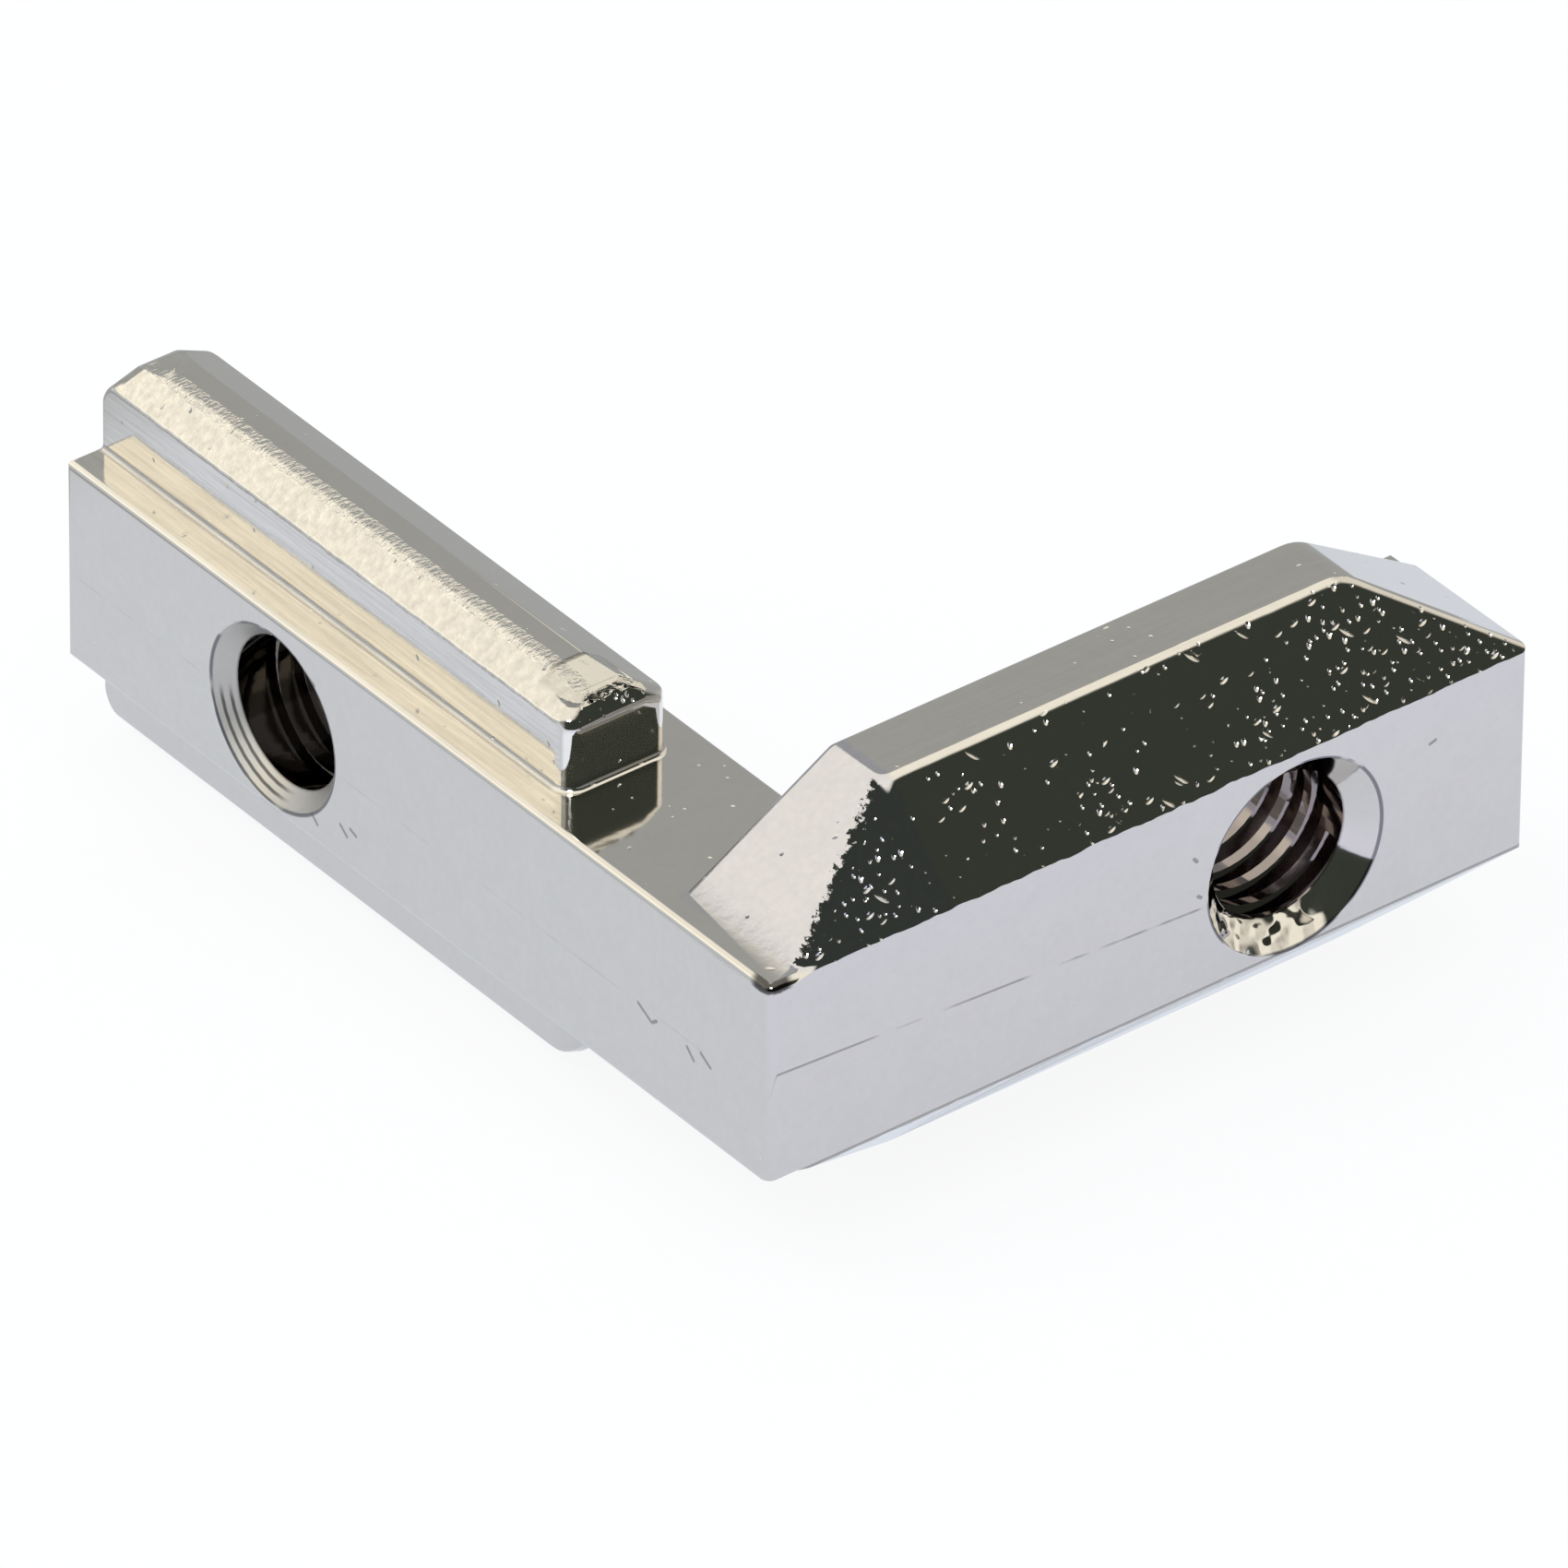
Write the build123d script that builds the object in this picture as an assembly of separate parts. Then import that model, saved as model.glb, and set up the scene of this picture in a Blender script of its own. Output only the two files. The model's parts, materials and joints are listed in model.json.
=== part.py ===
from build123d import *
from math import radians, tan
import os

os.makedirs("parts", exist_ok=True)

# Inside corner bracket for slotted frame profiles with a 6 mm slot: one die casting with two
# unlike legs, each with a pair of flanges that lock under the slot lips and one tapped hole.
#
# While it is shaped, the outer corner of the L is at X = 0, Y = 0, the short leg runs along +X,
# the long leg along +Y, and Z = 0 is the middle of the casting, where its die parts. At the end
# it is moved, so that the origin is the middle of the underside of its box. All sizes are in mm.

# The slot that the bracket slides into
slot_opening = 6.2          # between the lips of the profile
slot_clearance = 0.2        # the bar is this much narrower than the opening
flange_span = 11.2          # over both flanges, across the slot

# The bar, bent into an L
long_leg = 29.0             # outer corner to the end of the long leg
short_leg = 24.2            # outer corner to the end of the short leg
bar_thickness = 5.5         # outer face to inner face
bar_edge_radius = 0.2       # along the edges of the bar
end_corner_radius = 0.18    # corners of both ends, seen from the outer faces
end_upright_radius = 0.22   # upright edges of both ends
outer_corner_radius = 0.35
inner_corner_radius = 0.6

# The flanges of the long leg stand back from the outer face and start clear of the corner. Their
# section has a bevel on both sides, and a steep chamfer and a gentle tilt end their top.
shelf_depth = 1.1           # outer face to the front of the flange
long_flange_depth = 3.28    # front to back of the flange
long_flange_start = 9.6     # outer corner to the near end of the flange
far_end_setback = 0.05      # bar's end to the flange's far end
long_bevel_width = 0.95     # bevel along the flange's front, seen from its top
long_bevel_drop = 0.6       # and seen from its end
back_bevel_width = 1.4      # bevel along the flange's back
back_bevel_drop = 0.82
near_chamfer_width = 0.38   # chamfer at the near end, seen from the flange's top
near_chamfer_drop = 0.6     # and seen from its front
far_chamfer_width = 0.45
far_chamfer_drop = 0.95
tilt_width = 1.4            # stretch beside each chamfer where the top tilts down to it
tilt_drop = 0.15
near_end_radius = 0.5       # blends round the near end
near_foot_radius = 0.15     # where the near end meets the bar
far_end_radius = 0.5        # blends round the far end
long_edge_radius = 0.15     # blends along the flange's length

# The flanges of the short leg rise straight from the edges of the outer face
short_bevel_depth = 2.5     # how far the long bevel runs in from the outer face
short_flange_depth = 4.6    # outer face to the back of the flange
near_ramp_start = 0.95      # where the ramp beside the corner leaves the bar
near_ramp_run = 4.5
far_ramp_run = 4.0          # the ramp that runs out at the leg's end
far_ramp_foot = 0.15        # how far above the bar that ramp ends
near_hip_radius = 0.8       # soft hip between the near ramp and the long bevel
far_bend_radius = 1.5       # soft bend where the flange's top runs down into the far ramp
far_hip_radius = 0.4        # along the long bevel's upper edge and the far ramp
short_top_radius = 0.2      # the other edges of the flange's top

# The tapped holes, one through each leg
thread_nominal = 5.0
thread_pitch = 0.8
long_hole_place = 20.3      # outer corner to the hole in the long leg
short_hole_place = 16.75    # outer corner to the hole in the short leg
hole_drop = 0.15            # both holes sit this far below the middle
long_sink_diameter = 5.2    # countersink in the outer face of the long leg
short_sink_diameter = 5.6   # and of the short leg
inner_sink_diameter = 5.2   # lead for the screw in both inner faces
sink_angle = 90.0

# Worked out from the sizes above
half_bar = (slot_opening - slot_clearance) / 2
half_span = flange_span / 2
flange_rise = half_span - half_bar
bore_radius = (thread_nominal - thread_pitch) / 2
overrun = 1.0               # how far a block or a tool runs on past the face it meets
hairline = 1e-3             # two places closer than this are the same


def mirrored(points):
    # The points of the upper half of an outline, and then those of the lower half
    return points + [(along, -height) for along, height in reversed(points) if height > 0]


def nearest_edges(shape, points):
    return [shape.edges().sort_by_distance(point)[0] for point in points]


def edges_between(shape, low, high):
    # The edges that lie in one stretch of the long leg
    boxes = [(edge, edge.bounding_box()) for edge in shape.edges()]
    return [e for e, box in boxes if box.min.Y > low - hairline and box.max.Y < high + hairline]


def end_vertices(face, x_end):
    return [vertex for vertex in face.vertices() if vertex.X > x_end - hairline]


def plan_block(half_height, extra):
    # The L in plan, with its bends rounded. Its ends are rounded too, or are left long and square.
    x_end, y_end = short_leg + extra, long_leg + extra
    corners = [
        (0, 0),
        (x_end, 0),
        (x_end, bar_thickness),
        (bar_thickness, bar_thickness),
        (bar_thickness, y_end),
        (0, y_end),
    ]
    plan = make_face(Polyline(corners, close=True))
    plan = fillet(plan.vertices().sort_by_distance((0, 0))[0], outer_corner_radius)
    bend = (bar_thickness, bar_thickness)
    plan = fillet(plan.vertices().sort_by_distance(bend)[0], inner_corner_radius)
    if extra == 0:
        ends = [v for v in plan.vertices() if max(v.X - x_end, v.Y - y_end) > -hairline]
        plan = fillet(ends, end_upright_radius)
    return extrude(plan, half_height, both=True)


def bent_bar():
    # The bar's long edges are rounded while it is still too long, then both ends are cut
    bar = plan_block(half_bar, overrun)
    long_edges = [
        edge
        for face in (bar.faces().sort_by(Axis.Z)[0], bar.faces().sort_by(Axis.Z)[-1])
        for edge in face.edges()
        if edge.center().X < short_leg and edge.center().Y < long_leg
    ]
    bar = fillet(long_edges, bar_edge_radius)
    size = (short_leg + overrun, long_leg + overrun, 2 * half_bar)
    slab = Pos(-overrun, -overrun, 0) * Box(*size, align=(Align.MIN, Align.MIN, Align.CENTER))
    end_edges = slab.faces().sort_by(Axis.X)[-1].edges().filter_by(Axis.Y)
    end_edges += slab.faces().sort_by(Axis.Y)[-1].edges().filter_by(Axis.X)
    slab = fillet(end_edges, end_corner_radius)
    return bar & plan_block(half_bar, 0) & slab


def long_flanges():
    # One block through the bar makes both flanges of the long leg. Its section is drawn first.
    back = shelf_depth + long_flange_depth
    section = mirrored(
        [
            (shelf_depth, half_span - long_bevel_drop),
            (shelf_depth + long_bevel_width, half_span),
            (back - back_bevel_width, half_span),
            (back, half_span - back_bevel_drop),
        ]
    )
    block = extrude(
        make_face(Plane.XZ * Polyline(section, close=True)), long_leg, dir=(0, 1, 0)
    )
    # Then its outline seen from the front, with a chamfer and a tilt at both ends
    far_end = long_leg - far_end_setback
    near_tilt = long_flange_start + near_chamfer_width
    far_tilt = far_end - far_chamfer_width
    tilt_foot = half_span - tilt_drop
    side = mirrored(
        [
            (long_flange_start, tilt_foot - near_chamfer_drop),
            (near_tilt, tilt_foot),
            (near_tilt + tilt_width, half_span),
            (far_tilt - tilt_width, half_span),
            (far_tilt, tilt_foot),
            (far_end, tilt_foot - far_chamfer_drop),
        ]
    )
    block &= extrude(make_face(Plane.YZ * Polyline(side, close=True)), back + overrun, both=True)
    # Both ends are blended, the far one without its front uprights, which follow the long edges
    block = fillet(edges_between(block, long_flange_start, near_tilt), near_end_radius)
    far_edges = edges_between(block, far_tilt, far_end)
    far_edges = [edge for edge in far_edges if edge.center().X > shelf_depth + hairline]
    block = fillet(far_edges, far_end_radius)
    return fillet(block.edges().filter_by(Axis.Y), long_edge_radius)


def short_flanges():
    # Seen from the outer face, a block with a ramp at each end; seen from the leg's end, a block
    # with a long bevel on both sides. The flanges are what the two blocks have in common.
    near_top = near_ramp_start + near_ramp_run
    far_top = short_leg - far_ramp_run
    near_tip = near_ramp_run * half_bar / flange_rise
    far_foot = half_bar + far_ramp_foot
    far_tip = far_ramp_run * far_foot / (half_span - far_foot)
    ramps = mirrored(
        [
            (near_ramp_start - near_tip, 0),
            (near_top, half_span),
            (far_top, half_span),
            (short_leg + far_tip, 0),
        ]
    )
    face = make_face(Plane.XZ * Polyline(ramps, close=True))
    face = fillet([v for v in face.vertices() if abs(v.X - far_top) < hairline], far_bend_radius)
    side_block = extrude(face, short_flange_depth, dir=(0, 1, 0))
    section = mirrored(
        [(0, half_bar), (short_bevel_depth, half_span), (short_flange_depth, half_span)]
    )
    end_block = extrude(
        make_face(Plane.YZ * Polyline(section, close=True)), 2 * short_leg, both=True
    )
    block = side_block & end_block
    bevel_middle = short_bevel_depth / 2
    strip_middle = (short_bevel_depth + short_flange_depth) / 2
    ramp_height = (half_bar + half_span) / 2
    near_hip = ((near_ramp_start + near_top) / 2, bevel_middle, ramp_height)
    far_hip = ((far_top + short_leg) / 2, bevel_middle, ramp_height)
    near_rim = (near_top, strip_middle, half_span)
    back_rim = ((near_top + far_top) / 2, short_flange_depth, half_span)
    # The far hip runs round the bend into the long bevel's upper edge, so they are one blend
    for places, radius in (
        ([near_hip], near_hip_radius),
        ([far_hip], far_hip_radius),
        ([near_rim, back_rim], short_top_radius),
    ):
        both_sides = places + [(x, y, -z) for x, y, z in places]
        block = fillet(nearest_edges(block, both_sides), radius)
    # The block still runs past the leg at both ends: it is cut off inside the bar's corner, and
    # rounded at the leg's end as the bar is
    root = outer_corner_radius
    outline = mirrored([(root, half_span), (far_top, half_span), (short_leg, far_foot)])
    face = make_face(Plane.XZ * Polyline(outline, close=True))
    face = fillet(end_vertices(face, short_leg), end_corner_radius)
    trimmed = block & extrude(face, bar_thickness, dir=(0, 1, 0))
    return trimmed & plan_block(half_span, 0)


def hole_tool(sink_diameter):
    # What a hole takes out, along +Z from the outer face: countersink, bore and inner countersink
    slope = tan(radians(sink_angle / 2))
    outer_radius = sink_diameter / 2
    inner_radius = inner_sink_diameter / 2
    outer_depth = (outer_radius - bore_radius) / slope
    inner_start = bar_thickness - (inner_radius - bore_radius) / slope
    profile = Polyline(
        [
            (0, -overrun),
            (outer_radius + overrun * slope, -overrun),
            (bore_radius, outer_depth),
            (bore_radius, inner_start),
            (inner_radius + overrun * slope, bar_thickness + overrun),
            (0, bar_thickness + overrun),
        ],
        close=True,
    )
    return revolve(make_face(Plane.XZ * profile), Axis.Z)


def corner_bracket():
    casting = bent_bar() + long_flanges()
    foot_middle = shelf_depth + long_flange_depth / 2
    feet = nearest_edges(casting, [(foot_middle, long_flange_start, z) for z in (half_bar, -half_bar)])
    casting = fillet(feet, near_foot_radius) + short_flanges()
    long_hole = Plane(origin=(0, long_hole_place, -hole_drop), z_dir=(1, 0, 0))
    short_hole = Plane(origin=(short_hole_place, 0, -hole_drop), z_dir=(0, 1, 0))
    casting -= long_hole * hole_tool(long_sink_diameter)
    casting -= short_hole * hole_tool(short_sink_diameter)
    return Pos(-short_leg / 2, -long_leg / 2, half_span) * casting


bracket = corner_bracket()
export_step(bracket, "parts/corner_bracket.step")
print(f"corner_bracket: {bracket.volume:.1f} cubic mm")
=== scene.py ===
import bpy
import bmesh
import json
from math import cos, pi, radians, sin, tan
from mathutils import Matrix, Vector, noise


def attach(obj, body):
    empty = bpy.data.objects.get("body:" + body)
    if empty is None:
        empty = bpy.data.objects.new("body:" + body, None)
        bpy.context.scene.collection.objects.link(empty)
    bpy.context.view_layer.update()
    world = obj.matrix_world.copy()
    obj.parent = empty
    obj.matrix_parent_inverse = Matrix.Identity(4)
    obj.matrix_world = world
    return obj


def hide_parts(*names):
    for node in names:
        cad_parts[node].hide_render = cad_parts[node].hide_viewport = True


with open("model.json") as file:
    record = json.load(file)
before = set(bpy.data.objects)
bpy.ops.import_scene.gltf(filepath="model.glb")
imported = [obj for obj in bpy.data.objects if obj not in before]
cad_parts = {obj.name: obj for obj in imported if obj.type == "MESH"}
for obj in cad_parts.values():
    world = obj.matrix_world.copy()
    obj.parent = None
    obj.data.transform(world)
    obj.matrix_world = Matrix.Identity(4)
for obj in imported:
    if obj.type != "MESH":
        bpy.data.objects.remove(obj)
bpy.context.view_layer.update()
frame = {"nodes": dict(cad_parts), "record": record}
mm = 0.001
mounts = {mount["name"]: mount for mount in frame["record"]["mounts"]}

# The photograph's view: where the camera stands, seen from the middle of the image
view = {
    "aim": (-10.028, -12.394, 12.768),  # mm, what the middle of the image looks at
    "azimuth": 231.658,                 # degrees round the bracket, from its short leg
    "elevation": 35.174,
    "roll": 0.604,
    "distance": 647.0,                  # mm
    "lens": 602.9,                      # mm
    "sensor": 36.0,
    "clip": (0.01, 20.0),               # m
}

# The threads that are cut into the two bores
thread = {
    "pitch": 0.8,
    "rootFlat": 0.1,      # width of the groove's bottom
    "innerRadius": 2.04,  # the cutter's inner side, just inside the bore
    "weld": 0.01,         # its turns are welded within this
    "flankAngle": 30.0,
    "stepsPerTurn": 40,
}
# major is the thread's width over its grooves, runOut how far they run past the wall's ends, and
# sink the countersink's width
# colour darkens each bore's wall, and the sink's tint darkens the long leg's countersink: both are painted
# shade
holes = [
    {
        "mount": "long_leg_thread", "major": 4.7, "runOut": -0.35, "phase": 40.0,
        "sink": 5.2, "sinkRoughness": 0.35, "sinkShade": -0.2, "colour": (0.17, 0.155, 0.14),
    },
    {
        "mount": "short_leg_thread", "major": 4.9, "runOut": -0.25, "phase": 200.0,
        "sink": 5.6, "sinkRoughness": 0.0, "sinkShade": 0.0, "colour": (0.30, 0.265, 0.26),
    },
]

shellEdges = {
    "mergeDistance": 0.002,  # mm
    "sliver": 0.0005,        # mm, what the cutting of the threads leaves behind
    "flatAngle": 0.3,        # degrees, faces this close to flat are joined
    "sharpAngle": 32.0,
    "creaseAngle": 12.0,     # a bend this small stays a crease between two broad faces
    "broadFace": 0.15,       # mm, a broad face's area over its outline
}

# Cast edges that aren't quite straight: every long edge inside a run's box is cut into short
# steps, which wander by up to the amount along one axis. Places are in mm, in the frame's axes.
raggedEdges = {
    "step": 0.09,
    "shortest": 0.5,                               # edges shorter than this stay straight
    "finer": {"times": 2.3, "share": 0.5},         # the finer part of the wander
    "runs": [
        # foot of the short flanges' long bevels
        {
            "low": (-12, -14.52, 8.55), "high": (12.2, -14.48, 8.65),
            "along": "z", "amount": 0.055, "wave": 0.55,
        },
        {
            "low": (-12, -14.52, 2.55), "high": (12.2, -14.48, 2.65),
            "along": "z", "amount": 0.055, "wave": 0.55,
        },
        # their upper edge
        {
            "low": (-8, -12.25, 11.0), "high": (9, -11.75, 11.21),
            "along": "y", "amount": 0.03, "wave": 0.4,
        },
        # edges of the long flange's front bevel
        {
            "low": (-10.3, -4.5, 11.0), "high": (-9.85, 14.2, 11.21),
            "along": "x", "amount": 0.07, "wave": 0.30,
        },
        {
            "low": (-11.05, -4.5, 10.4), "high": (-10.9, 14.2, 10.75),
            "along": "z", "amount": 0.03, "wave": 0.45,
        },
        # upper edge of the long leg's outer face
        {
            "low": (-12, -14.2, 8.55), "high": (-11.8, 14.3, 8.61),
            "along": "x", "amount": 0.03, "wave": 0.8,
        },
        {
            "low": (-12.11, -14.2, 8.3), "high": (-12.05, 14.3, 8.5),
            "along": "z", "amount": 0.03, "wave": 0.8,
        },
        # where the long flange's top starts to tilt towards its near end
        {
            "low": (-10.6, -3.3, 11.0), "high": (-8.2, -2.9, 11.21),
            "along": "y", "amount": 0.05, "wave": 0.3, "crease": True,
        },
        # and the torn upper edge of the chamfer there
        {
            "low": (-10.6, -4.7, 10.7), "high": (-8.2, -4.3, 11.15),
            "along": "y", "amount": 0.16, "wave": 0.13,
        },
    ],
}


def unitVector(azimuth, elevation):
    a, e = radians(azimuth), radians(elevation)
    return Vector((cos(a) * cos(e), sin(a) * cos(e), sin(e)))


def newObject(name, bm):
    mesh = bpy.data.meshes.new(name)
    bm.to_mesh(mesh)
    bm.free()
    piece = bpy.data.objects.new(name, mesh)
    bpy.context.scene.collection.objects.link(piece)
    return piece


def appliedModifiers(piece):
    # swaps the mesh for the one that its modifiers make
    depsgraph = bpy.context.evaluated_depsgraph_get()
    mesh = bpy.data.meshes.new_from_object(piece.evaluated_get(depsgraph))
    piece.modifiers.clear()
    piece.data = mesh


def threadCutter(hole):
    # one groove section, spun into a helix along the hole
    mount = mounts[hole["mount"]]
    start, axis = Vector(mount["pos_m"]), Vector(mount["axis"])
    length = mount["dims"]["length_mm"] + 2 * hole["runOut"]
    outer = hole["major"] / 2
    halfFlat = thread["rootFlat"] / 2
    halfMouth = halfFlat + (outer - thread["innerRadius"]) * tan(radians(thread["flankAngle"]))
    section = [
        (thread["innerRadius"], -halfMouth),
        (outer, -halfFlat),
        (outer, halfFlat),
        (thread["innerRadius"], halfMouth),
    ]
    bm = bmesh.new()
    corners = [bm.verts.new((r, 0, z)) for r, z in section]
    face = bm.faces.new(corners)
    turns = length / thread["pitch"]
    steps = round(turns * thread["stepsPerTurn"])
    bmesh.ops.spin(
        bm, geom=[face] + list(face.edges) + corners, cent=(0, 0, 0), axis=(0, 0, 1),
        dvec=(0, 0, length / steps), angle=2 * pi * turns, steps=steps,
        use_merge=False, use_normal_flip=False, use_duplicate=False,
    )
    bmesh.ops.remove_doubles(bm, verts=bm.verts, dist=thread["weld"] * mm)
    openEdges = [e for e in bm.edges if e.is_boundary]
    if openEdges:
        bmesh.ops.holes_fill(bm, edges=openEdges, sides=4)
    bmesh.ops.recalc_face_normals(bm, faces=bm.faces)
    turn = axis.to_track_quat("Z", "Y").to_matrix().to_4x4()
    phase = Matrix.Rotation(radians(hole["phase"]), 4, "Z")
    place = Matrix.Translation(start) @ turn @ phase
    bm.transform(place @ Matrix.Scale(mm, 4) @ Matrix.Translation((0, 0, -length / 2)))
    return newObject(hole["mount"] + "_cutter", bm)


def roughenEdges(bm):
    # cuts and moves the edges, and gives back those that are to stay creases
    creases = []
    finer = raggedEdges["finer"]
    for run in raggedEdges["runs"]:
        low, high = Vector(run["low"]) * mm, Vector(run["high"]) * mm

        def inBox(vert):
            return all(a <= c <= b for a, c, b in zip(low, vert.co, high))

        longEdges = [
            e for e in bm.edges
            if all(inBox(v) for v in e.verts) and e.calc_length() > raggedEdges["shortest"] * mm
        ]
        axis = "xyz".index(run["along"])
        for edge in longEdges:
            cuts = round(edge.calc_length() / (raggedEdges["step"] * mm))
            ends = [v.co.copy() for v in edge.verts]
            made = bmesh.ops.subdivide_edges(bm, edges=[edge], cuts=cuts)["geom_inner"]
            if run.get("crease"):
                creases += [e for e in made if isinstance(e, bmesh.types.BMEdge)]
            for vert in (v for v in made if isinstance(v, bmesh.types.BMVert)):
                fade = min(1, min((vert.co - end).length for end in ends) / (run["wave"] * mm))
                there = vert.co / (run["wave"] * mm)
                there[axis] = 0
                wander = noise.noise(there) + finer["share"] * noise.noise(there * finer["times"])
                vert.co[axis] += run["amount"] * mm * fade * wander
        print("ragged edge", run["low"], "edges", len(longEdges))
    return creases


def isCrease(edge):
    # sharp edges, and shallow ones where two broad flat faces meet
    angle = edge.calc_face_angle(0)
    if angle > radians(shellEdges["sharpAngle"]):
        return True
    broad = [f.calc_area() / f.calc_perimeter() > shellEdges["broadFace"] * mm for f in edge.link_faces]
    return angle > radians(shellEdges["creaseAngle"]) and all(broad)


def platedShell(material):
    # a merged copy of the casting, with its threads cut
    bm = bmesh.new()
    bm.from_mesh(frame["nodes"]["corner_bracket"].data)
    bmesh.ops.remove_doubles(bm, verts=bm.verts, dist=shellEdges["mergeDistance"] * mm)
    shell = newObject("plated_bracket", bm)
    for hole in holes:
        cutter = threadCutter(hole)
        cut = shell.modifiers.new("thread", "BOOLEAN")
        cut.object = cutter
        cut.operation = "DIFFERENCE"
        cut.solver = "EXACT"
        appliedModifiers(shell)
        bpy.data.objects.remove(cutter)
    bm = bmesh.new()
    bm.from_mesh(shell.data)
    bmesh.ops.remove_doubles(bm, verts=bm.verts, dist=shellEdges["sliver"] * mm)
    bmesh.ops.dissolve_degenerate(bm, dist=shellEdges["sliver"] * mm, edges=bm.edges)
    bmesh.ops.dissolve_limit(
        bm, angle_limit=radians(shellEdges["flatAngle"]), use_dissolve_boundaries=False,
        verts=bm.verts, edges=bm.edges, delimit=set(),
    )
    creases = roughenEdges(bm)
    openEdges = sum(1 for e in bm.edges if not e.is_manifold)
    print("plated_bracket: faces", len(bm.faces), "open edges", openEdges)
    for f in bm.faces:
        f.smooth = True
    for e in bm.edges:
        e.smooth = not isCrease(e)
    for e in creases:
        e.smooth = False
    bm.to_mesh(shell.data)
    bm.free()
    weighted = shell.modifiers.new("face normals", "WEIGHTED_NORMAL")
    weighted.mode = "FACE_AREA"
    weighted.keep_sharp = True
    weighted.weight = 100
    shell.data.materials.clear()
    shell.data.materials.append(material)
    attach(shell, "root")
    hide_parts("corner_bracket")


def mathNode(tree, operation, first, second=None, third=None, clamp=False):
    node = tree.nodes.new("ShaderNodeMath")
    node.operation = operation
    node.use_clamp = clamp
    for socket, value in zip(node.inputs, (first, second, third)):
        if value is None:
            continue
        if isinstance(value, (int, float)):
            socket.default_value = value
        else:
            tree.links.new(value, socket)
    return node.outputs[0]


def total(tree, operation, values):
    result = values[0]
    for value in values[1:]:
        result = mathNode(tree, operation, result, value)
    return result


def softStep(tree, value, low, high):
    # 0 at low and 1 at high, whichever is larger
    node = tree.nodes.new("ShaderNodeMapRange")
    node.interpolation_type = "SMOOTHSTEP"
    node.inputs["From Min"].default_value = low
    node.inputs["From Max"].default_value = high
    tree.links.new(value, node.inputs["Value"])
    return node.outputs["Result"]


def vectorNode(tree, operation, first, second=None):
    # gives a number for a dot product or a distance, and otherwise a vector
    node = tree.nodes.new("ShaderNodeVectorMath")
    node.operation = operation
    sockets = (node.inputs[0], node.inputs["Scale" if operation == "SCALE" else 1])
    for socket, value in zip(sockets, (first, second)):
        if value is None:
            continue
        if isinstance(value, (int, float, tuple, Vector)):
            socket.default_value = value
        else:
            tree.links.new(value, socket)
    return node.outputs["Value" if operation in ("DOT_PRODUCT", "DISTANCE") else "Vector"]


def between(tree, value, low, high, soft):
    rise = softStep(tree, value, low - soft, low)
    fall = softStep(tree, value, high + soft, high)
    return mathNode(tree, "MULTIPLY", rise, fall)


def region(tree, parts, limits):
    # 1 inside all the limits. Each is (what, 0 here, 1 from here), or (what, low, high, softness).
    masks = []
    for what, *numbers in limits:
        mask = between if len(numbers) == 3 else softStep
        masks.append(mask(tree, parts[what], *numbers))
    return total(tree, "MULTIPLY", masks)


def product(tree, *values):
    return total(tree, "MULTIPLY", values)


def weightedSum(tree, start, weights):
    # start, and each value times its weight
    result = start
    for value, weight in weights:
        result = mathNode(tree, "MULTIPLY_ADD", value, weight, result)
    return result


def mixColour(tree, share, first, second, blend="MIX"):
    node = tree.nodes.new("ShaderNodeMix")
    node.data_type = "RGBA"
    node.blend_type = blend
    tree.links.new(share, node.inputs["Factor"])
    for socket, value in ((node.inputs[6], first), (node.inputs[7], second)):
        if isinstance(value, tuple):
            socket.default_value = (*value, 1)
        else:
            tree.links.new(value, socket)
    return node.outputs[2]


def mixVector(tree, share, first, second):
    node = tree.nodes.new("ShaderNodeMix")
    node.data_type = "VECTOR"
    tree.links.new(share, node.inputs["Factor"])
    tree.links.new(first, node.inputs[4])
    node.inputs[5].default_value = second
    return node.outputs[1]


def placed(tree, place, size=(1, 1, 1), turn=None):
    # the place turned, and then counted in cells of the given size
    if turn is None:
        return vectorNode(tree, "DIVIDE", place, size)
    node = tree.nodes.new("ShaderNodeMapping")
    node.vector_type = "TEXTURE"
    node.inputs["Rotation"].default_value = [radians(angle) for angle in turn]
    node.inputs["Scale"].default_value = size
    tree.links.new(place, node.inputs["Vector"])
    return node.outputs[0]


def ripple(tree, place, detail=2.0, roughness=0.5):
    # noise from -0.5 to 0.5, one wave to a cell
    node = tree.nodes.new("ShaderNodeTexNoise")
    node.inputs["Scale"].default_value = 1.0
    node.inputs["Detail"].default_value = detail
    node.inputs["Roughness"].default_value = roughness
    tree.links.new(place, node.inputs["Vector"])
    return mathNode(tree, "SUBTRACT", node.outputs["Fac"], 0.5)


def splitPlace(tree, place):
    node = tree.nodes.new("ShaderNodeSeparateXYZ")
    tree.links.new(place, node.inputs[0])
    return node.outputs[0], node.outputs[1], node.outputs[2]


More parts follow.
